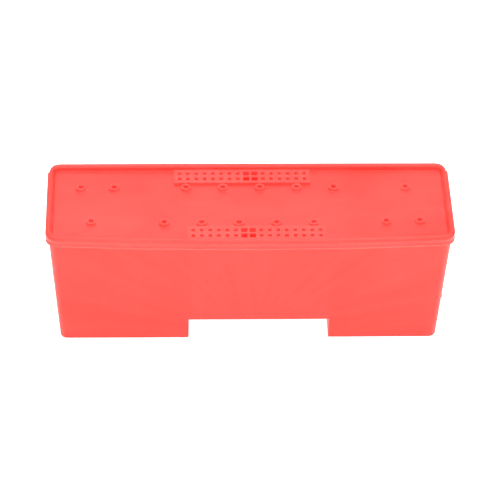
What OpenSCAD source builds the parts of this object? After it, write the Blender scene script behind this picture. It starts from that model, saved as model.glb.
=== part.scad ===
// Low water filled barrier: a drafted tub with a cable tunnel, a press-fit lid with a rolled rim,
// fixing sleeves and lift-out strainers in the deck, surge baffles inside and a screw-in drain plug.
// Millimetres. +X along the length, +Y to the rear, +Z up. Origin at the centre of the footprint.

/* [Overall] */
// Length over the lid
body_l = 1000; // [820:10:1300]
// Width over the lid at mid-length
body_w = 310; // [258:2:420]
// Height from the ground to the top of the rim
body_h = 345; // [280:1:450]
// How far the front side of the lid bows out at mid-length
front_bow = 13.5; // [0.5:0.5:18]
// How far the rear side of the lid bows out at mid-length
rear_bow = 0.5; // [0.5:0.5:12]
// Corner radius of the lid in plan
corner_r = 32; // [24:1:45]

/* [Lid] */
// Width of the rolled rim
rim_w = 15; // [13:0.5:20]
// Wall of the rim and its skirt
rim_t = 3.5; // [2.5:0.1:4]
// Depth of the deck below the top of the rim
deck_drop = 16; // [12:1:30]
// Thickness of the deck
deck_t = 4; // [3:0.5:6]
// Distance of the moulding gate's mark from the right end of the lid
gate_end = 107; // [60:1:140]
// Place of that mark across the deck
gate_y = -31; // [-45:1:45]
// Thickness of the crown over the sealing groove
crown_t = 4.5; // [3.5:0.5:6]

/* [Tub] */
// Wall of the tub
wall_t = 4; // [3:0.5:6]
// Draft of the tub's ends, in degrees
end_draft_deg = 3.8; // [2:0.1:6]
// Draft of the tub's long sides at mid-length, in degrees
side_draft_deg = 5.3; // [3:0.1:7]
// How far the tub's wall stands in from the edge of the lid
wall_inset = 7.75; // [7.5:0.25:14]
// Bow of the long sides at the ground
foot_bow = 0.5; // [0.5:0.5:6]
// Corner radius of the foot in plan
foot_r = 18; // [12:1:30]
// Chamfer round the underside
foot_chamfer = 3; // [1:0.5:5]
// Thickness of the flange under the lid
flange_t = 4; // [3:0.5:6]
// Thickness of the upstand that carries the seal
upstand_t = 4; // [3:0.5:5]
// Height of the lid seal
seal_h = 5; // [3:0.5:6]
// Width of the lid seal
seal_w = 6; // [5:0.5:7]

/* [Tunnel] */
// Width of the tunnel under the tub
tunnel_w = 350; // [200:5:420]
// Height of the tunnel
tunnel_h = 65; // [40:1:90]
// Distance of the tunnel's centre from mid-length
tunnel_x = 25; // [-60:1:60]
// Chamfer at the foot of the tunnel's sides
tunnel_chamfer = 5; // [2:1:8]

/* [Fixing sleeves] */
// Radius of the bolt hole in a sleeve
sleeve_bore_r = 6.75; // [5:0.25:8]
// Outer radius of a sleeve above the deck
sleeve_r = 12.2; // [10:0.1:14]
// Radius of the neck that passes through the deck
sleeve_neck_r = 10; // [9:0.25:11.5]
// Height of a sleeve above the deck
sleeve_up = 8; // [5:0.5:14]
// Radius of the fillet at the foot of a sleeve
sleeve_fillet_r = 2.6; // [1:0.1:5]
// Depth of the bolt hole from the sleeve's mouth
sleeve_depth = 46; // [30:1:60]
// Gap between a strainer and the feet of the sleeves beside it
sleeve_clear = 0.6; // [0.5:0.1:6]
// How far the front row of sleeves bows out at mid-length
row_bow = 9.7; // [0:0.1:12]
// Pitch of the five sleeves in the middle group
sleeve_pitch = 91.7; // [72:0.1:96]
// Place of the middle group's first sleeve in the rear row
sleeve_first_x = -156.2; // [-165:0.1:-140]
// Distance of the last sleeve from the lid's end, on the side with two
sleeve_end = 83.5; // [70:0.1:90]
// Pitch of those two sleeves
sleeve_end_pitch = 82.2; // [50:0.1:86]
// Distance of the last sleeve from the lid's end, on the side with one
sleeve_far_end = 111; // [90:0.1:130]

/* [Strainers] */
// Length of a strainer
strainer_l = 340; // [250:1:420]
// Width of a strainer
strainer_w = 52; // [46:0.5:60]
// Height of a strainer above the deck
strainer_up = 7.5; // [5:0.5:12]
// Thickness of the perforated plate
strainer_t = 4; // [3:0.5:5]
// Wall of the strainer's collar
collar_t = 2.5; // [2:0.5:3]
// Depth of the collar below the deck
collar_down = 8; // [5:0.5:14]
// Ledge of the strainer that rests on the deck
ledge_w = 5; // [3:0.5:5.5]
// Offset of each strainer from mid-length
strainer_x = 15.8; // [0:0.1:40]
// Gap between the rim and the corner of a strainer that is nearest to it
strainer_gap = 1.8; // [0.5:0.1:4]
// Number of holes along a strainer
hole_cols = 16; // [10:2:20]
// Pitch of the holes
hole_pitch = 20.75; // [14:0.25:24]
// Distance between the two rows of holes
hole_rows = 20.6; // [16:0.1:21]
// Side of a small hole
small_hole = 8.8; // [4:0.2:10]
// Side of a large hole
large_hole = 15; // [10:0.5:17]
// Column of the first of the two columns of large holes, counted from the left
large_col = 9; // [1:1:15]

/* [Inside] */
// Thickness of a surge baffle
baffle_t = 4; // [3:0.5:6]
// Distance from the lid down to the top of a baffle
baffle_clear = 24; // [10:1:60]
// Radius of the two flow holes in a baffle
baffle_hole_r = 45; // [20:1:55]
// Thickness of the guide ribs each side of a baffle
guide_t = 3; // [2:0.5:4]
// How far the guide ribs stand in from the wall
guide_w = 12; // [8:1:16]

/* [Drain] */
// Height of the drain above the ground
drain_z = 42; // [36:1:60]
// Outer radius of the boss moulded on the tub
drain_boss_r = 22; // [20:0.5:28]
// Outer radius of the threaded bush
bush_r = 15; // [13:0.5:18]
// Radius of the plug's shank
plug_r = 10; // [8:0.5:11]
// Length of the plug's shank
plug_l = 14; // [10:1:16]
// Radius of the plug's flange
plug_flange_r = 17; // [15:0.5:19]
// Thickness of the plug's flange
plug_flange_t = 4; // [3:0.5:5]
// Width of the finger grip on the plug
grip_w = 26; // [20:1:30]
// Thickness of the finger grip
grip_t = 6; // [4:0.5:9]
// Height of the finger grip
grip_h = 9; // [6:0.5:12]
// Thickness of the sealing washer
washer_t = 2.5; // [1.5:0.5:4]

/* [Fits] */
// Gap between the flange of the tub and the underside of the lid
seat_gap = 1; // [0.5:0.5:2]
// How far the skirt reaches below the flange
skirt_cover = 2; // [0:0.5:6]
// Gap round a sleeve's neck and round the threaded bush
press_gap = 0.05; // [0.02:0.01:0.1]
// Gap round a strainer's collar and round a baffle
slide_gap = 0.5; // [0.3:0.1:1]
// Radial gap between the plug's shank and the bush
thread_gap = 0.1; // [0.05:0.05:0.1]

/* [Hidden] */
SLEEVES_PER_ROW = 8;
SLEEVE_NODES = [for (row = ["rear", "front"]) for (i = [1:SLEEVES_PER_ROW]) str("sleeve_", row, "_", i)];

shell_colour = [0.96, 0.30, 0.26];
insert_colour = [0.95, 0.36, 0.31];
rubber_colour = [0.12, 0.12, 0.13];
brass_colour = [0.80, 0.62, 0.28];
inner_colour = [0.86, 0.84, 0.80];

corner_steps = 8;
side_steps = 8;
crown_steps = 10;
round_fn = 72;
eps = 0.01;
lip = 1;
barb = 0.6;
bush_flange_t = 2;
gate_r = 2.2;

deck_z = body_h - deck_drop;
deck_under = deck_z - deck_t;
flange_top = deck_under - seat_gap;
flange_under = flange_top - flange_t;
skirt_z = flange_under - skirt_cover;
groove_z = body_h - crown_t;
upstand_top = groove_z - seal_h;
groove_mid = rim_w / 2;
crown_z = body_h - rim_w / 2;
// Draft and foot inset as [along the length, across it].
draft_rate = [tan(end_draft_deg), tan(side_draft_deg)];
foot_inset = [wall_inset, wall_inset] + flange_under * draft_rate;
lid_bows = [front_bow, rear_bow];
foot_bows = [foot_bow, foot_bow];
baffle_top = deck_under - baffle_clear;
boss_proud = 4;
drain_face_x = body_l / 2 - foot_inset[0] + drain_z * draft_rate[0] + boss_proud;
drain_root_x = drain_face_x - plug_l - bush_flange_t;
plug_seat_x = drain_face_x + washer_t;
window_l = strainer_l - 2 * ledge_w + 2 * slide_gap;
window_w = strainer_w - 2 * ledge_w + 2 * slide_gap;
sleeve_base_r = sleeve_r + sleeve_fillet_r;
sleeve_floor_z = sleeve_up - sleeve_depth;
corner_sag = max(lid_bows) * pow((strainer_x + strainer_l / 2) / (body_l / 2 - corner_r), 2);
strainer_y = body_w / 2 - rim_w - strainer_gap - corner_sag - strainer_w / 2;
sleeve_y = strainer_y - strainer_w / 2 - sleeve_clear - sleeve_base_r;
rear_x = concat([sleeve_end - body_l / 2, sleeve_end + sleeve_end_pitch - body_l / 2],
    [for (i = [0:4]) sleeve_first_x + i * sleeve_pitch],
    [body_l / 2 - sleeve_far_end]);
gate_x = body_l / 2 - gate_end;
baffle_x = (rear_x[6] - rear_x[1]) / 2;

// One quarter of the plan, from the end to mid-length: a corner arc and the half of a bowed side.
function quarter(inset, bow, r) = let (
    cx = body_l / 2 - inset[0] - r,
    half_w = body_w / 2 - inset[1],
    side_r = (cx * cx + bow * bow) / (2 * bow),
    cy = half_w - side_r + sqrt(pow(side_r - r, 2) - cx * cx),
    turn = asin(cx / (side_r - r)))
    concat(
        [for (i = [0:corner_steps]) let (a = (90 - turn) * i / corner_steps) [cx + r * cos(a), cy + r * sin(a)]],
        [for (i = [1:side_steps]) let (a = turn * (1 - i / side_steps))
            [side_r * sin(a), half_w - side_r + side_r * cos(a)]]);

// The whole plan, anticlockwise. Each side is one quarter and its mirror image; bows is [front, rear].
function plan(inset, bows, r) = let (f = quarter(inset, bows[0], r), q = quarter(inset, bows[1], r), n = len(q))
    concat(
        q,
        [for (i = [n - 2:-1:0]) [-q[i][0], q[i][1]]],
        [for (i = [0:n - 1]) [-f[i][0], -f[i][1]]],
        [for (i = [n - 2:-1:0]) [f[i][0], -f[i][1]]]);

function lid_plan(inset) = plan([inset, inset], lid_bows, corner_r - inset);

// A closed profile of [inset, height] points carried round the plan of the lid.
module rim_sweep(profile) {
    rings = [for (p = profile) [for (q = lid_plan(p[0])) [q[0], q[1], p[1]]]];
    n = len(rings[0]);
    m = len(profile);
    points = [for (ring = rings) each ring];
    faces = [for (k = [0:m - 1]) for (i = [0:n - 1])
        let (k2 = (k + 1) % m, i2 = (i + 1) % n) each [
            [k * n + i, k2 * n + i2, k * n + i2],
            [k * n + i, k2 * n + i, k2 * n + i2]]];
    polyhedron(points, faces);
}

module slab(z, thickness, inset, bows, r) {
    translate([0, 0, z])
        linear_extrude(thickness)
            polygon(plan(inset, bows, r));
}

// The drafted form of the tub, taken in by an even amount for its inner face.
module tub_form(inward, floor_z, top_z) {
    chamfer = inward > 0 ? eps : foot_chamfer;
    low_inset = foot_inset - floor_z * draft_rate + [inward, inward];
    top_inset = foot_inset - top_z * draft_rate + [inward, inward];
    hull() {
        slab(floor_z, eps, low_inset + [chamfer, chamfer], foot_bows, foot_r - inward - chamfer);
        slab(floor_z + chamfer, eps, low_inset, foot_bows, foot_r - inward);
        slab(top_z - eps, eps, top_inset, lid_bows, corner_r - top_inset[0]);
    }
}

// The tunnel's section, run right through the width.
module tunnel_form(grow) {
    half = tunnel_w / 2 + grow;
    flare = half + tunnel_chamfer;
    height = tunnel_h + grow;
    translate([tunnel_x, body_w, 0])
        rotate([90, 0, 0])
            linear_extrude(2 * body_w)
                polygon([[-flare, -1], [-flare, 0], [-half, tunnel_chamfer], [-half, height],
                    [half, height], [half, tunnel_chamfer], [flare, 0], [flare, -1]]);
}

// Space inside the tub, above its floor and above the roof of the tunnel.
module tub_inside() {
    difference() {
        tub_form(wall_t, wall_t, flange_top + 1);
        tunnel_form(wall_t);
    }
}

// Two ribs on each long wall, which hold the edges of one baffle.
module baffle_guides(x) {
    low_w = body_w - 2 * (foot_inset[1] + wall_t + guide_w);
    high_w = body_w - 2 * (wall_inset + wall_t + guide_w);
    for (side = [-1, 1])
        translate([x + side * (baffle_t / 2 + slide_gap + guide_t / 2), 0, 0])
            rotate([90, 0, 90])
                translate([0, 0, -guide_t / 2])
                    linear_extrude(guide_t)
                        difference() {
                            translate([-body_w / 2, 0])
                                square([body_w, baffle_top]);
                            polygon([[-low_w / 2, -eps], [low_w / 2, -eps],
                                [high_w / 2, flange_under], [-high_w / 2, flange_under]]);
                        }
}

// Turns a shape drawn along +Z to lie along +X on the drain's axis.
module along_drain(x) {
    translate([x, 0, drain_z])
        rotate([0, 90, 0])
            children();
}

module ring(outer_r, inner_r, height) {
    difference() {
        cylinder(h = height, r = outer_r, $fn = round_fn);
        translate([0, 0, -1])
            cylinder(h = height + 2, r = inner_r, $fn = round_fn);
    }
}

module tub() {
    boss_l = drain_face_x - drain_root_x;
    color(shell_colour)
        difference() {
            union() {
                difference() {
                    tub_form(0, 0, flange_top);
                    tunnel_form(0);
                    tub_inside();
                }
                intersection() {
                    tub_inside();
                    union() {
                        baffle_guides(-baffle_x);
                        baffle_guides(baffle_x);
                    }
                }
                rim_sweep([
                    [groove_mid - upstand_t / 2, flange_under], [groove_mid - upstand_t / 2, upstand_top],
                    [groove_mid + upstand_t / 2, upstand_top], [groove_mid + upstand_t / 2, flange_top],
                    [wall_inset + wall_t / 2, flange_top], [wall_inset + wall_t / 2, flange_under]]);
                along_drain(drain_root_x)
                    cylinder(h = boss_l, r = drain_boss_r, $fn = round_fn);
            }
            along_drain(drain_root_x - 1)
                cylinder(h = boss_l + 2, r = bush_r + press_gap, $fn = round_fn);
        }
}

// Places one copy per sleeve: the front row is the rear row turned half round, and then bowed.
module at_sleeve(row, i) {
    side = row == "rear" ? 1 : -1;
    sag = row == "rear" ? 0 : row_bow * pow(2 * rear_x[i - 1] / body_l, 2);
    translate([side * rear_x[i - 1], side * sleeve_y + sag, deck_z])
        children();
}

module at_strainer(side) {
    rotate([0, 0, side > 0 ? 0 : 180])
        translate([-strainer_x, strainer_y, deck_z])
            children();
}

module lid() {
    crown = [for (i = [0:crown_steps]) let (a = 180 - 180 * i / crown_steps)
        [groove_mid + groove_mid * cos(a), crown_z + groove_mid * sin(a)]];
    color(shell_colour)
        difference() {
            union() {
                rim_sweep(concat([[0, skirt_z]], crown, [[rim_w, deck_under], [rim_w - rim_t, deck_under],
                    [rim_w - rim_t, groove_z], [rim_t, groove_z], [rim_t, skirt_z]]));
                translate([0, 0, deck_under])
                    linear_extrude(deck_t)
                        polygon(lid_plan(rim_w - 1));
                translate([gate_x, gate_y, deck_z - 1])
                    cylinder(h = 1 + barb, r = gate_r, $fn = round_fn);
            }
            for (row = ["rear", "front"])
                for (i = [1:SLEEVES_PER_ROW])
                    at_sleeve(row, i)
                        translate([0, 0, -deck_t - 1])
                            cylinder(h = deck_t + 2, r = sleeve_neck_r + press_gap, $fn = round_fn);
            for (side = [-1, 1])
                at_strainer(side)
                    translate([-window_l / 2, -window_w / 2, -deck_t - 1])
                        cube([window_l, window_w, deck_t + 2]);
        }
}

module lid_seal() {
    color(rubber_colour)
        rim_sweep([
            [groove_mid - seal_w / 2, upstand_top], [groove_mid - seal_w / 2, groove_z],
            [groove_mid + seal_w / 2, groove_z], [groove_mid + seal_w / 2, upstand_top]]);
}

// A sleeve with its seat at z = 0: a flared foot, a lipped mouth, a snap barb and a closed end.
module sleeve() {
    fillet = [for (i = [0:6]) let (a = 270 - 90 * i / 6)
        [sleeve_base_r + sleeve_fillet_r * cos(a), barb + sleeve_fillet_r + sleeve_fillet_r * sin(a)]];
    mouth = [for (i = [0:4]) let (a = 90 * i / 4)
        [sleeve_r - lip + lip * cos(a), sleeve_up - lip + lip * sin(a)]];
    color(insert_colour)
        rotate_extrude($fn = round_fn)
            polygon(concat(
                [[0, sleeve_floor_z - wall_t], [sleeve_neck_r - lip, sleeve_floor_z - wall_t],
                    [sleeve_neck_r, sleeve_floor_z - wall_t + lip],
                    [sleeve_neck_r, -deck_t - 4], [sleeve_neck_r + barb, -deck_t - lip],
                    [sleeve_neck_r + barb, -deck_t - press_gap], [sleeve_neck_r, -deck_t - press_gap],
                    [sleeve_neck_r, 0], [sleeve_base_r, 0]],
                fillet, mouth,
                [[sleeve_bore_r + lip, sleeve_up], [sleeve_bore_r, sleeve_up - lip],
                    [sleeve_bore_r, sleeve_floor_z], [0, sleeve_floor_z]]));
}

module round_plate(l, w, r, t) {
    linear_extrude(t)
        union() {
            square([l - 2 * r, w], center = true);
            square([l, w - 2 * r], center = true);
            for (x = [-1, 1])
                for (y = [-1, 1])
                    translate([x * (l / 2 - r), y * (w / 2 - r)])
                        circle(r, $fn = round_fn);
        }
}

// A perforated tray with its ledge at z = 0.
module strainer() {
    outer_l = strainer_l - 2 * ledge_w;
    outer_w = strainer_w - 2 * ledge_w;
    depth = deck_t + collar_down;
    color(insert_colour)
        difference() {
            union() {
                round_plate(strainer_l, strainer_w, lip + ledge_w / 2, strainer_up);
                translate([-outer_l / 2, -outer_w / 2, -depth])
                    cube([outer_l, outer_w, depth + strainer_up / 2]);
            }
            translate([collar_t - outer_l / 2, collar_t - outer_w / 2, -depth - 1])
                cube([outer_l - 2 * collar_t, outer_w - 2 * collar_t, depth + 1 + strainer_up - strainer_t]);
            for (col = [1:hole_cols])
                for (row = [-0.5, 0.5]) {
                    side = col == large_col || col == large_col + 1 ? large_hole : small_hole;
                    translate([(col - (hole_cols + 1) / 2) * hole_pitch, row * hole_rows, 0])
                        translate([-side / 2, -side / 2, -1])
                            cube([side, side, strainer_up + 2]);
                }
        }
}

module baffle(x) {
    color(inner_colour)
        difference() {
            intersection() {
                tub_form(wall_t + slide_gap, wall_t, flange_under);
                translate([x - baffle_t / 2, -body_w / 2, wall_t])
                    cube([baffle_t, body_w, baffle_top - wall_t]);
            }
            for (level = [0.2, 0.68])
                translate([x - baffle_t, 0, wall_t + level * (baffle_top - wall_t)])
                    rotate([0, 90, 0])
                        cylinder(h = 2 * baffle_t, r = baffle_hole_r, $fn = round_fn);
        }
}

module drain_bush() {
    bush_l = drain_face_x - drain_root_x;
    color(brass_colour)
        along_drain(drain_root_x - bush_flange_t)
            difference() {
                union() {
                    cylinder(h = bush_l + bush_flange_t, r = bush_r, $fn = round_fn);
                    cylinder(h = bush_flange_t, r = (bush_r + drain_boss_r) / 2, $fn = round_fn);
                }
                translate([0, 0, -1])
                    cylinder(h = bush_l + bush_flange_t + 2, r = plug_r + thread_gap, $fn = round_fn);
            }
}

module drain_washer() {
    color(rubber_colour)
        along_drain(drain_face_x)
            ring(plug_flange_r - 0.5, plug_r + slide_gap, washer_t);
}

module drain_plug() {
    color(rubber_colour)
        union() {
            along_drain(plug_seat_x - plug_l)
                cylinder(h = plug_l + plug_flange_t, r = plug_r, $fn = round_fn);
            along_drain(plug_seat_x)
                cylinder(h = plug_flange_t, r = plug_flange_r, $fn = round_fn);
            translate([plug_seat_x, -grip_w / 2, drain_z - grip_t / 2])
                cube([plug_flange_t + grip_h, grip_w, grip_t]);
        }
}

tub();
lid();
lid_seal();
at_strainer(1) strainer();  // strainer_rear
at_strainer(-1) strainer();  // strainer_front
baffle(-baffle_x);  // baffle_left
baffle(baffle_x);  // baffle_right
drain_bush();
drain_washer();
drain_plug();
for (row = ["rear", "front"])
    for (i = [1:SLEEVES_PER_ROW])
        at_sleeve(row, i) sleeve();
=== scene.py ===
"""Looks of a low water filled barrier: coral tub, lid, sleeves, strainers and drain on a pale floor."""
import math

import bmesh
import bpy
from mathutils import Matrix, Vector


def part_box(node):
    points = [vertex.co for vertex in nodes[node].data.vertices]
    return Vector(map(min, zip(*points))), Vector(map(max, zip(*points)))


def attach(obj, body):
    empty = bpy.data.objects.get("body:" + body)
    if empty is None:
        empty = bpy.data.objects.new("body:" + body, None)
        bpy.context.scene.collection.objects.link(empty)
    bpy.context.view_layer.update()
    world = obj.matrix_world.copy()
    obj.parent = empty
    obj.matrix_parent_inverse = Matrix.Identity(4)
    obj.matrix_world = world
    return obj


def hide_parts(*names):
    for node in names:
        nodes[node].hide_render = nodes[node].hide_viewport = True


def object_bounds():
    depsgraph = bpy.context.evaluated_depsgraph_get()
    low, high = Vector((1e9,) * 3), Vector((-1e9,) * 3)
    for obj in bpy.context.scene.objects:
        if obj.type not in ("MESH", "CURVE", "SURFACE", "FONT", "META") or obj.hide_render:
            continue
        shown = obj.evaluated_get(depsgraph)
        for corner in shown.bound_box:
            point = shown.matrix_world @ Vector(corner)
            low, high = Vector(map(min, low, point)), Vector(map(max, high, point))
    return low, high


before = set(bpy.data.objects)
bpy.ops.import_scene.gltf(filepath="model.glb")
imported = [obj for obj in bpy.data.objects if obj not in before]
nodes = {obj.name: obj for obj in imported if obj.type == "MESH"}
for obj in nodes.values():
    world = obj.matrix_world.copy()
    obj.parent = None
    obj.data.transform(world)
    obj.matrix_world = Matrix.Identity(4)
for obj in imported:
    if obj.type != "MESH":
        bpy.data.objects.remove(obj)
cad_low, cad_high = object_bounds()

MM = 0.001
ROWS = ("rear", "front")
SLEEVES_PER_ROW = 8

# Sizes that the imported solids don't give by their boxes alone, in metres. Bows are (front, rear).
# The lid: its outline, its rim, the lip at the foot of its skirt, and its deck
CORNER_R = 32 * MM
LID_BOWS = (13.5 * MM, 0.5 * MM)
RIM_W = 15 * MM
RIM_T = 3.3 * MM
LIP = 1.6 * MM
LIP_H = 2.2 * MM
LIP_RISE = 0.6 * LIP
DECK_Z = 329 * MM
DECK_FILLET = 2.5 * MM
# How far the inner side of the rim leans in at the two ends
END_SLOPE = 3.5 * MM
# The step that draws the rim in at the rear corners: how far, from where, and over what length
CORNER_RELIEF = 3.9 * MM
RELIEF_Y = 121 * MM
RELIEF_STEP = 1.2 * MM
# How far inside a strainer's edge the window under it begins
WINDOW_MARGIN = 4.5 * MM
# The gate mark: its distance from the right end and its y, its radius and its height
GATE_PLACE = (107 * MM, -31 * MM)
GATE_R = 2.2 * MM
GATE_H = 0.4 * MM
# The tub: its walls, the upstand and flange at their top, its feet and the tunnel between them
WALL_T = 4 * MM
WALL_INSET = 7.75 * MM
UPSTAND_INSET = 5.5 * MM
FLANGE_UNDER = 320 * MM
END_DRAFT = math.tan(math.radians(3.8))
SIDE_DRAFT = math.tan(math.radians(5.3))
FOOT_BOWS = (0.5 * MM, 0.5 * MM)
FOOT_R = 18 * MM
FOOT_EDGE_R = 2.0 * MM
TUNNEL_H = 65 * MM
TUNNEL_LEFT = -150 * MM
TUNNEL_RIGHT = 200 * MM
# The strainers: two rows of square holes, the middle ones larger, in a tray with a collar under it
HOLE_PITCH = 20.75 * MM
HOLE_ROWS = 20.6 * MM
SMALL_HOLE = 8.8 * MM
LARGE_HOLE = 15 * MM
HOLE_COLS = 16
LARGE_COLS = (8, 9)
PLATE_T = 4 * MM
COLLAR_T = 2.5 * MM
LEDGE = 5 * MM
# Small gaps that keep the tray's edge off the deck and the collar off the plate
TRAY_GAP = 0.05 * MM
COLLAR_GAP = 0.02 * MM

# Points closer than TOUCH are one point, and faces and edges closer than LEVEL to a height are at it
TOUCH = 1e-6
LEVEL = 1e-5
# Edges that fold by more than this are softened
CREASE_DEG = 50
# The part of a noise's range that a colour runs over, from its darker end to its paler one
MOTTLE = (0.3, 0.7)
CORAL_MOTTLE = (0.32, 0.68)
# Where the flow marks of the tub fan out from, in x and z
FLOW_FROM = (0.01, 0.02)
# The glow is painted light that stands in for light passing through the thin plastic: how strong it is,
# how much its green and blue swing with the mottle, and its paler colour on the lip's edge, a painted
# highlight
GLOW = 0.22
GLOW_SWING = 0.25
LIP_PAINTED_HIGHLIGHT = (1.0, 0.6, 0.54, 1)

half_l = cad_high.x
half_w = cad_high.y
top_z = cad_high.z


# ---------------------------------------------------------------- mesh helpers

def finish_mesh(name, bm, material, body, replaces=(), smooth_deg=35.0):
    """Makes a piece of a bmesh, with its material and body, in place of the CAD nodes that it stands for."""
    bmesh.ops.recalc_face_normals(bm, faces=bm.faces)
    mesh = bpy.data.meshes.new(name)
    bm.to_mesh(mesh)
    bm.free()
    mesh.shade_smooth()
    mesh.set_sharp_from_angle(angle=math.radians(smooth_deg))
    mesh.materials.append(material)
    piece = bpy.data.objects.new(name, mesh)
    bpy.context.scene.collection.objects.link(piece)
    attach(piece, body)
    if replaces:
        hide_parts(*replaces)
    return piece


def add_solidify(piece, thickness, even=True):
    """Gives a piece a wall, inwards from the surface that was drawn."""
    wall = piece.modifiers.new("wall", "SOLIDIFY")
    wall.thickness = thickness
    wall.offset = -1.0
    wall.use_even_offset = even
    wall.use_rim = True


def add_bevel(piece, width, segments):
    edge = piece.modifiers.new("soft edges", "BEVEL")
    edge.width = width
    edge.segments = segments
    edge.limit_method = "ANGLE"
    edge.angle_limit = math.radians(CREASE_DEG)
    edge.harden_normals = True


def plan_face(bm, inset, z, bows, radius):
    """One face with the outline of the barrier in plan: round corners and bowed long sides."""
    corner_segments, side_cuts, end_cuts = 10, 30, 7
    others = set(bm.faces)
    grid = bmesh.ops.create_grid(bm, x_segments=1, y_segments=1, size=1.0)
    reach_x = half_l - inset[0]
    reach_y = half_w - inset[1]
    sides = [(reach_y - bow, bow) for bow in bows]
    for v in grid["verts"]:
        v.co = (v.co.x * reach_x, v.co.y * sides[v.co.y > 0][0], z)
    bmesh.ops.bevel(
        bm, geom=grid["verts"], offset=radius, offset_type="OFFSET", segments=corner_segments,
        profile=0.5, affect="VERTICES", material=-1)
    face = next(f for f in bm.faces if f not in others)
    long_sides = [e for e in face.edges if abs(e.verts[0].co.x - e.verts[1].co.x) > reach_x]
    ends = [e for e in face.edges if abs(e.verts[0].co.y - e.verts[1].co.y) > 0.5 * reach_y]
    for edge, cuts in [*((e, side_cuts) for e in long_sides), *((e, end_cuts) for e in ends)]:
        bmesh.ops.subdivide_edges(bm, edges=[edge], cuts=cuts)
    for v in face.verts:
        share = min(1.0, abs(v.co.x) / (reach_x - radius))
        side_y, bow = sides[v.co.y > 0]
        if abs(v.co.y) > side_y - radius:
            v.co.y += math.copysign(bow * (1 - share * share), v.co.y)
    return face


def step(bm, face, inward, up):
    """Carries a face inwards and upwards, leaving a band of wall behind it."""
    bmesh.ops.inset_region(
        bm, faces=[face], thickness=inward, depth=up, use_even_offset=True, use_boundary=True)


def arc_steps(bm, face, radius, start_deg, end_deg, segments):
    """Carries a face along an arc. 180 degrees is outwards, 90 is up, 0 is inwards."""
    turn = end_deg - start_deg
    angles = [math.radians(start_deg + turn * i / segments) for i in range(segments + 1)]
    for a, b in zip(angles, angles[1:]):
        step(bm, face, radius * (math.cos(b) - math.cos(a)), radius * (math.sin(b) - math.sin(a)))


def kind(geom, wanted):
    """The vertices, edges or faces alone, out of what an operator made."""
    return [g for g in geom if isinstance(g, wanted)]


def cut(bm, geom, point, normal):
    """Cuts the given faces along a plane and returns them with the new ones."""
    edges = {e for f in geom for e in f.edges}
    verts = {v for f in geom for v in f.verts}
    made = bmesh.ops.bisect_plane(
        bm, geom=[*geom, *edges, *verts], plane_co=point, plane_no=normal, dist=TOUCH)
    return kind(made["geom"], bmesh.types.BMFace)


# ---------------------------------------------------------------- materials

def node_material(name):
    material = bpy.data.materials.new(name)
    material.use_nodes = True
    tree = material.node_tree
    return material, tree, tree.nodes["Principled BSDF"]


def object_coords(tree):
    return tree.nodes.new("ShaderNodeTexCoord").outputs["Object"]


def object_axes(tree):
    """The object coordinates as three separate outputs, X, Y and Z."""
    split = tree.nodes.new("ShaderNodeSeparateXYZ")
    tree.links.new(object_coords(tree), split.inputs[0])
    return split.outputs


def noise(tree, scale, detail=3.0, stretch=(1.0, 1.0, 1.0)):
    mapping = tree.nodes.new("ShaderNodeMapping")
    mapping.inputs["Scale"].default_value = stretch
    tree.links.new(object_coords(tree), mapping.inputs["Vector"])
    texture = tree.nodes.new("ShaderNodeTexNoise")
    texture.inputs["Scale"].default_value = scale
    texture.inputs["Detail"].default_value = detail
    tree.links.new(mapping.outputs["Vector"], texture.inputs["Vector"])
    return texture.outputs["Fac"]


def ramp(tree, source, span, colours):
    """Runs from the first colour to the second while the source runs over the span."""
    node = tree.nodes.new("ShaderNodeValToRGB")
    for element, position, colour in zip(node.color_ramp.elements, span, colours):
        element.position = position
        element.color = (*colour, 1.0)
    tree.links.new(source, node.inputs["Fac"])
    return node.outputs["Color"]


def math_node(tree, operation, first, second):
    node = tree.nodes.new("ShaderNodeMath")
    node.operation = operation
    for socket, value in zip(node.inputs, (first, second)):
        if isinstance(value, (int, float)):
            socket.default_value = value
        else:
            tree.links.new(value, socket)
    return node.outputs[0]


def bump(tree, height, strength, distance, into=None):
    node = tree.nodes.new("ShaderNodeBump")
    node.inputs["Strength"].default_value = strength
    node.inputs["Distance"].default_value = distance
    tree.links.new(height, node.inputs["Height"])
    if into is not None:
        tree.links.new(into, node.inputs["Normal"])
    return node.outputs["Normal"]


def flow_marks(tree, cloud):
    """Mixes the cloud with streaks that fan out from the place where the mould was filled."""
    axes = object_axes(tree)
    across = math_node(tree, "SUBTRACT", axes["X"], FLOW_FROM[0])
    along = math_node(tree, "SUBTRACT", axes["Z"], FLOW_FROM[1])
    angle = math_node(tree, "ARCTAN2", across, along)
    squares = [math_node(tree, "MULTIPLY", part, part) for part in (across, along)]
    far = math_node(tree, "POWER", math_node(tree, "ADD", *squares), 0.5)
    joined = tree.nodes.new("ShaderNodeCombineXYZ")
    tree.links.new(math_node(tree, "MULTIPLY", angle, 6.0), joined.inputs["X"])
    tree.links.new(math_node(tree, "MULTIPLY", far, 2.0), joined.inputs["Y"])
    fan = tree.nodes.new("ShaderNodeTexNoise")
    fan.inputs["Scale"].default_value = 1.6
    fan.inputs["Detail"].default_value = 4.0
    tree.links.new(joined.outputs[0], fan.inputs["Vector"])
    return math_node(tree, "ADD", math_node(tree, "MULTIPLY", cloud, 0.45),
                     math_node(tree, "MULTIPLY", fan.outputs["Fac"], 0.55))


def paint_lip_highlight(tree, colour, low, high):
    """Paints a highlight on the lip: changes a colour to the highlight's pale colour between two heights."""
    height = object_axes(tree)["Z"]
    inside = math_node(tree, "MULTIPLY", math_node(tree, "GREATER_THAN", height, low),
                       math_node(tree, "LESS_THAN", height, high))
    blend = tree.nodes.new("ShaderNodeMix")
    blend.data_type = "RGBA"
    # A mix has a set of sockets for each type of data: 0 is the factor, 6 and 7 are the two colours
    tree.links.new(inside, blend.inputs[0])
    tree.links.new(colour, blend.inputs[6])
    blend.inputs[7].default_value = LIP_PAINTED_HIGHLIGHT
    return blend.outputs[2]


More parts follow.
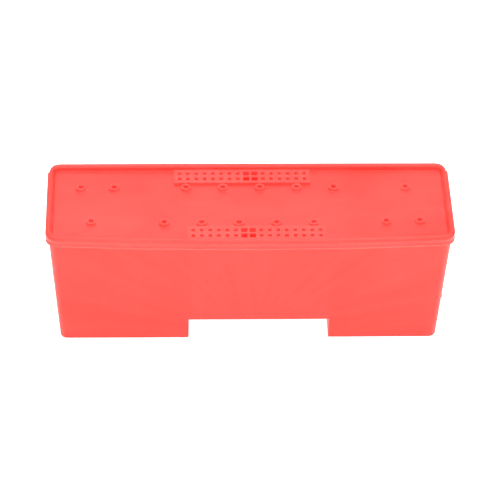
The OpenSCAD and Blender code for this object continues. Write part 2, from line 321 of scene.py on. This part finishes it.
def coral_plastic(name, colours, glow, flow=False, lip=None):
    """Moulded polyolefin: slightly uneven colour, a faint grain and a painted glow that stands in for the
    light inside it.
    """
    material, tree, shader = node_material(name)
    cloud = noise(tree, 5.0, detail=4.0, stretch=(1.0, 2.0, 1.4))
    tone = flow_marks(tree, cloud) if flow else cloud
    tree.links.new(ramp(tree, tone, CORAL_MOTTLE, colours), shader.inputs["Base Color"])
    rough = tree.nodes.new("ShaderNodeMapRange")
    rough.inputs["To Min"].default_value = 0.36
    rough.inputs["To Max"].default_value = 0.46
    tree.links.new(cloud, rough.inputs["Value"])
    tree.links.new(rough.outputs["Result"], shader.inputs["Roughness"])
    soft = bump(tree, tone, 0.25, 0.0012)
    grain = noise(tree, 900.0, detail=2.0)
    tree.links.new(bump(tree, grain, 0.12, 0.00012, into=soft), shader.inputs["Normal"])
    shader.inputs["Subsurface Weight"].default_value = 1.0
    shader.inputs["Subsurface Radius"].default_value = (0.02, 0.004, 0.003)
    shader.inputs["Subsurface Scale"].default_value = 1.0
    shader.inputs["IOR"].default_value = 1.5
    shader.inputs["Specular IOR Level"].default_value = 0.38
    # Painted glow: a coral emission that lights the plastic, its shaded parts and its hollows alike
    swings = [(1.0, glow[0] * swing, glow[1] * swing) for swing in (1 - GLOW_SWING, 1 + GLOW_SWING)]
    painted_glow = ramp(tree, tone, CORAL_MOTTLE, swings)
    # Painted highlight: the glow turns pale on the ledge of the lip
    if lip:
        painted_glow = paint_lip_highlight(tree, painted_glow, *lip)
    tree.links.new(painted_glow, shader.inputs["Emission Color"])
    shader.inputs["Emission Strength"].default_value = GLOW
    return material


def mottled(name, mottle, colours, rough, relief, metal=0.0):
    """A plain material: a mottled colour under a fine relief, given as its noise, strength and depth."""
    material, tree, shader = node_material(name)
    cloud = noise(tree, **mottle)
    tree.links.new(ramp(tree, cloud, MOTTLE, colours), shader.inputs["Base Color"])
    fine, strength, depth = relief
    height = noise(tree, fine) if fine else cloud
    tree.links.new(bump(tree, height, strength, depth), shader.inputs["Normal"])
    shader.inputs["Roughness"].default_value = rough
    shader.inputs["Metallic"].default_value = metal
    return material


# ---------------------------------------------------------------- the lid

def relieve_corners(bm):
    """Draws the rim in at the two rear corners, with a small step to the full width of each end."""
    rim = [f for f in bm.faces if abs(f.calc_center_median().x) > half_l - RIM_W]
    for y in (RELIEF_Y, RELIEF_Y - RELIEF_STEP):
        rim = cut(bm, rim, (0, y, 0), (0, 1, 0))
    start = half_l - RIM_W
    for v in bm.verts:
        if v.co.y > RELIEF_Y - LEVEL and abs(v.co.x) > start:
            v.co.x -= math.copysign((abs(v.co.x) - start) * CORNER_RELIEF / RIM_W, v.co.x)


def lean_ends(verts, wall_z):
    """Leans the inner side of the rim inwards at the two ends, from the foot of the crown to the deck."""
    for v in verts:
        past_corner = (abs(v.co.x) - half_l + CORNER_R) / (CORNER_R - RIM_W - DECK_FILLET)
        near_end = min(1.0, max(0.0, past_corner))
        depth = (wall_z - v.co.z) / (wall_z - DECK_Z)
        v.co.x -= math.copysign(END_SLOPE * near_end * depth, v.co.x)


def make_lid(material):
    """The lid from the foot of its skirt, over the rolled rim and down to the deck with its two windows."""
    skirt_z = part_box("lid")[0].z
    crown_r = RIM_W / 2
    tuck = math.degrees(math.acos(1 - LIP / crown_r))
    tuck_z = top_z - crown_r - crown_r * math.sin(math.radians(tuck))
    bm = bmesh.new()
    face = plan_face(bm, (0, 0), skirt_z, LID_BOWS, CORNER_R)
    step(bm, face, 0.0, LIP_H)
    step(bm, face, LIP, LIP_RISE)
    step(bm, face, 0.0, tuck_z - skirt_z - LIP_H - LIP_RISE)
    arc_steps(bm, face, crown_r, 180 + tuck, 180, 3)
    arc_steps(bm, face, crown_r, 180, 0, 12)
    rim = set(bm.verts)
    wall_z = top_z - crown_r
    step(bm, face, 0.0, DECK_Z + DECK_FILLET - wall_z)
    arc_steps(bm, face, DECK_FILLET, 180, 270, 4)
    lean_ends((set(bm.verts) - rim) | set(face.verts), wall_z)
    deck = [face]
    for row in ROWS:
        low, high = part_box(f"strainer_{row}")
        low += Vector((WINDOW_MARGIN, WINDOW_MARGIN, 0))
        high -= Vector((WINDOW_MARGIN, WINDOW_MARGIN, 0))
        for normal in ((1, 0, 0), (0, 1, 0)):
            for point in (low, high):
                deck = cut(bm, deck, point, normal)
        window = [f for f in deck if low.x < f.calc_center_median().x < high.x
                  and low.y < f.calc_center_median().y < high.y]
        deck = [f for f in deck if f not in window]
        bmesh.ops.delete(bm, geom=window, context="FACES")
    relieve_corners(bm)
    piece = finish_mesh("lid_shell", bm, material, "lid_body", ("lid",))
    add_solidify(piece, RIM_T)
    add_bevel(piece, 0.8 * MM, segments=2)


def make_gate_mark(material):
    """The small raised disc where the lid was filled in its mould."""
    bm = bmesh.new()
    bmesh.ops.create_circle(bm, cap_ends=True, segments=24, radius=GATE_R)
    face = bm.faces[:][0]
    step(bm, face, 0.0, GATE_H)
    step(bm, face, GATE_H, GATE_H / 2)
    bmesh.ops.translate(bm, vec=(half_l - GATE_PLACE[0], GATE_PLACE[1], DECK_Z), verts=bm.verts)
    finish_mesh("lid_gate_mark", bm, material, "lid_body")


# ---------------------------------------------------------------- the tub

def make_tub(material):
    """The tub from its upstand and flange down the drafted walls to the two feet, with the tunnel cut out."""
    upstand_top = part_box("tub")[1].z
    bm = bmesh.new()
    upstand = (UPSTAND_INSET, UPSTAND_INSET)
    face = plan_face(bm, upstand, upstand_top, LID_BOWS, CORNER_R - UPSTAND_INSET)
    step(bm, face, 0.0, FLANGE_UNDER - upstand_top)
    step(bm, face, WALL_INSET - UPSTAND_INSET, 0.0)
    foot_inset = (WALL_INSET + FLANGE_UNDER * END_DRAFT, WALL_INSET + FLANGE_UNDER * SIDE_DRAFT)
    foot = plan_face(bm, foot_inset, 0.0, FOOT_BOWS, FOOT_R)
    loops = [*face.edges, *foot.edges]
    bmesh.ops.delete(bm, geom=[face], context="FACES_ONLY")
    bmesh.ops.bridge_loops(bm, edges=loops)
    body = [f for f in bm.faces if f.calc_center_median().z < FLANGE_UNDER - LEVEL]
    for x in (TUNNEL_LEFT, TUNNEL_RIGHT):
        body = cut(bm, body, (x, 0, 0), (1, 0, 0))
    body = cut(bm, body, (0, 0, TUNNEL_H), (0, 0, 1))
    gone = [f for f in body if TUNNEL_LEFT < f.calc_center_median().x < TUNNEL_RIGHT
            and f.calc_center_median().z < TUNNEL_H - LEVEL]
    bmesh.ops.delete(bm, geom=gone, context="FACES")
    rim = [e for e in bm.edges if e.is_boundary and max(v.co.z for v in e.verts) < TUNNEL_H + LEVEL]
    one_side = [e for e in rim if e.verts[0].co.y * e.verts[1].co.y > 0]
    bmesh.ops.bridge_loops(bm, edges=one_side)
    bmesh.ops.remove_doubles(bm, verts=bm.verts, dist=TOUCH)
    bmesh.ops.recalc_face_normals(bm, faces=bm.faces)
    corners = [e for e in bm.edges
               if len(e.link_faces) == 2 and e.calc_face_angle() > math.radians(CREASE_DEG)
               and max(v.co.z for v in e.verts) < FLANGE_UNDER - LEVEL]
    bmesh.ops.bevel(
        bm, geom=corners, offset=FOOT_EDGE_R, offset_type="OFFSET", segments=4, affect="EDGES",
        profile=0.5, material=-1, clamp_overlap=True)
    piece = finish_mesh("tub_shell", bm, material, "tub_body", ("tub",), smooth_deg=30)
    add_solidify(piece, WALL_T, even=False)


# ---------------------------------------------------------------- strainers

def make_tray(name, material, turned):
    """The perforated plate with its edge turned down to the deck."""
    low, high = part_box(name)
    centre = (low + high) / 2
    half_grid = HOLE_COLS * HOLE_PITCH / 2
    bm = bmesh.new()
    grid = bmesh.ops.create_grid(bm, x_segments=HOLE_COLS, y_segments=2, size=0.5)
    bmesh.ops.scale(bm, vec=(2 * half_grid, 2 * HOLE_ROWS, 1), verts=grid["verts"])
    cells = {}
    for f in bm.faces[:]:
        col = int(round(f.calc_center_median().x / HOLE_PITCH + (HOLE_COLS - 1) / 2))
        cells.setdefault(col in LARGE_COLS, []).append(f)
    for large, faces in cells.items():
        side = LARGE_HOLE if large else SMALL_HOLE
        bmesh.ops.inset_individual(
            bm, faces=faces, thickness=(HOLE_ROWS - side) / 2, use_even_offset=True)
    bmesh.ops.delete(bm, geom=[f for faces in cells.values() for f in faces], context="FACES")
    outer = [e for e in bm.edges if e.is_boundary and all(
        abs(abs(v.co.x) - half_grid) < TOUCH or abs(abs(v.co.y) - HOLE_ROWS) < TOUCH for v in e.verts)]
    margin = bmesh.ops.extrude_edge_only(bm, edges=outer)["geom"]
    for v in kind(margin, bmesh.types.BMVert):
        v.co.x *= (high.x - low.x) / 2 / half_grid
        v.co.y *= (high.y - low.y) / 2 / HOLE_ROWS
    edge = [e for e in kind(margin, bmesh.types.BMEdge) if e.is_boundary]
    skirt = bmesh.ops.extrude_edge_only(bm, edges=edge)["geom"]
    for v in bm.verts:
        v.co.z = high.z
    for v in kind(skirt, bmesh.types.BMVert):
        v.co.z = DECK_Z + TRAY_GAP
    if turned:
        half_turn = Matrix.Rotation(math.pi, 3, "Z")
        bmesh.ops.rotate(bm, cent=(0, 0, 0), matrix=half_turn, verts=bm.verts)
    bmesh.ops.translate(bm, vec=(centre.x, centre.y, 0), verts=bm.verts)
    tray = finish_mesh(name + "_tray", bm, material, name + "_body", (name,))
    add_solidify(tray, PLATE_T)
    add_bevel(tray, 0.7 * MM, segments=3)


def make_collar(name, material):
    """The open frame under the plate that drops into the window of the deck."""
    low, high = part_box(name)
    size = high - low
    under = high.z - PLATE_T
    bm = bmesh.new()
    bmesh.ops.create_cube(bm, size=1.0)
    bmesh.ops.scale(
        bm, vec=(size.x - 2 * LEDGE, size.y - 2 * LEDGE, under - low.z), verts=bm.verts)
    bmesh.ops.translate(
        bm, vec=((low.x + high.x) / 2, (low.y + high.y) / 2, (low.z + under) / 2 - COLLAR_GAP),
        verts=bm.verts)
    top_and_bottom = [f for f in bm.faces if abs(f.normal.z) > 0.5]
    bmesh.ops.delete(bm, geom=top_and_bottom, context="FACES")
    collar = finish_mesh(name + "_collar", bm, material, name + "_body")
    add_solidify(collar, COLLAR_T)
    add_bevel(collar, 0.5 * MM, segments=2)


# ---------------------------------------------------------------- stage

def area_light(name, place, aim, size, power):
    """A rectangular softbox that faces the aim."""
    data = bpy.data.lights.new(name, "AREA")
    data.shape = "RECTANGLE"
    data.size, data.size_y = size
    data.energy = power
    lamp = bpy.data.objects.new(name, data)
    bpy.context.scene.collection.objects.link(lamp)
    lamp.location = place
    lamp.rotation_mode = "QUATERNION"
    lamp.rotation_quaternion = (Vector(aim) - Vector(place)).to_track_quat("-Z", "Y")


def make_floor():
    """A wide white floor, a little under the feet."""
    bm = bmesh.new()
    bmesh.ops.create_grid(bm, x_segments=4, y_segments=4, size=20.0)
    bmesh.ops.translate(bm, vec=(0, 0, -0.0005), verts=bm.verts)
    mesh = bpy.data.meshes.new("floor")
    bm.to_mesh(mesh)
    bm.free()
    floor = bpy.data.objects.new("floor", mesh)
    bpy.context.scene.collection.objects.link(floor)
    material, tree, shader = node_material("pale floor")
    shader.inputs["Base Color"].default_value = (0.9, 0.9, 0.9, 1)
    shader.inputs["Emission Color"].default_value = (1, 1, 1, 1)
    shader.inputs["Emission Strength"].default_value = 0.85
    shader.inputs["Roughness"].default_value = 0.9
    shader.inputs["Specular IOR Level"].default_value = 0.1
    mesh.materials.append(material)


def make_camera():
    """A long lens, well back, looking down on the long front side and turned slightly to the right."""
    aim = Vector((3.92 * MM, 0, 188.04 * MM))
    distance = 7.045
    pitch, yaw, roll = (math.radians(angle) for angle in (40.232, 2.403, 1.342))
    forward = Vector(
        (math.sin(yaw) * math.cos(pitch), math.cos(yaw) * math.cos(pitch), -math.sin(pitch)))
    right = Vector((math.cos(yaw), -math.sin(yaw), 0))
    up = right.cross(forward)
    right_r = math.cos(roll) * right + math.sin(roll) * up
    up_r = math.cos(roll) * up - math.sin(roll) * right
    data = bpy.data.cameras.new("camera")
    data.sensor_width = 36
    data.lens = 202.94
    data.clip_end = 100
    camera = bpy.data.objects.new("camera", data)
    bpy.context.scene.collection.objects.link(camera)
    turn = Matrix((right_r, up_r, -forward)).transposed()
    camera.matrix_world = Matrix.Translation(aim - forward * distance) @ turn.to_4x4()
    bpy.context.scene.camera = camera


def make_light():
    """An even pale sky with one large softbox overhead and one in front."""
    world = bpy.data.worlds.new("studio")
    world.use_nodes = True
    bpy.context.scene.world = world
    sky = world.node_tree.nodes["Background"]
    sky.inputs["Color"].default_value = (1, 1, 1, 1)
    sky.inputs["Strength"].default_value = 0.85
    area_light("overhead softbox", (0.2, 0.3, 2.6), (0, 0, 0.2), (3.4, 2.4), 78)
    area_light("front softbox", (-0.6, -3.2, 1.6), (0, 0, 0.15), (2.2, 1.4), 38)
    bpy.context.scene.view_settings.view_transform = "Standard"


make_camera()
make_light()
make_floor()

ledge_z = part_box("lid")[0].z + LIP_H
# The tub's coral has less green and blue in its colour and its glow than the lid's: painted shade that gives
# its upright walls a darker tone in this light
wall_coral = coral_plastic(
    "coral tub plastic", ((0.95, 0.012, 0.005), (0.97, 0.018, 0.010)), (0.10, 0.07), flow=True)
# The lid's coral carries a painted highlight on the ledge of the lip, between the two heights given
lid_coral = coral_plastic(
    "coral lid plastic", ((0.95, 0.021, 0.013), (0.97, 0.026, 0.018)), (0.16, 0.14),
    lip=(ledge_z, ledge_z + LIP_RISE))
insert = coral_plastic(
    "coral insert plastic", ((0.96, 0.031, 0.022), (0.98, 0.037, 0.027)), (0.17, 0.15))
rubber = mottled(
    "seal rubber", {"scale": 60.0}, ((0.018, 0.018, 0.019), (0.035, 0.035, 0.036)), 0.92,
    (700.0, 0.2, 0.0001))
plug = mottled(
    "plug plastic", {"scale": 40.0}, ((0.022, 0.022, 0.024), (0.045, 0.045, 0.048)), 0.45,
    (1200.0, 0.25, 0.00008))
sheet = mottled(
    "baffle sheet", {"scale": 9.0, "detail": 5.0}, ((0.62, 0.60, 0.55), (0.74, 0.72, 0.68)), 0.5,
    (500.0, 0.2, 0.0001))
brass = mottled(
    "turned brass", {"scale": 240.0, "stretch": (6.0, 1.0, 1.0)},
    ((0.55, 0.38, 0.14), (0.72, 0.54, 0.24)), 0.38, (None, 0.2, 0.0001), metal=1.0)

make_lid(lid_coral)
make_gate_mark(lid_coral)
make_tub(wall_coral)
for row in ROWS:
    make_tray(f"strainer_{row}", insert, turned=row == "front")
    make_collar(f"strainer_{row}", insert)

for name, material, slot in (
        *((f"sleeve_{row}_{i}", insert, "insert") for row in ROWS for i in range(1, SLEEVES_PER_ROW + 1)),
        ("lid_seal", rubber, "seal_rubber"), ("baffle_left", sheet, "baffle_plastic"),
        ("baffle_right", sheet, "baffle_plastic"), ("drain_bush", brass, "bush_brass"),
        ("drain_washer", rubber, "seal_rubber"), ("drain_plug", plug, "plug_plastic")):
    nodes[name].data.materials.clear()
    nodes[name].data.materials.append(material)
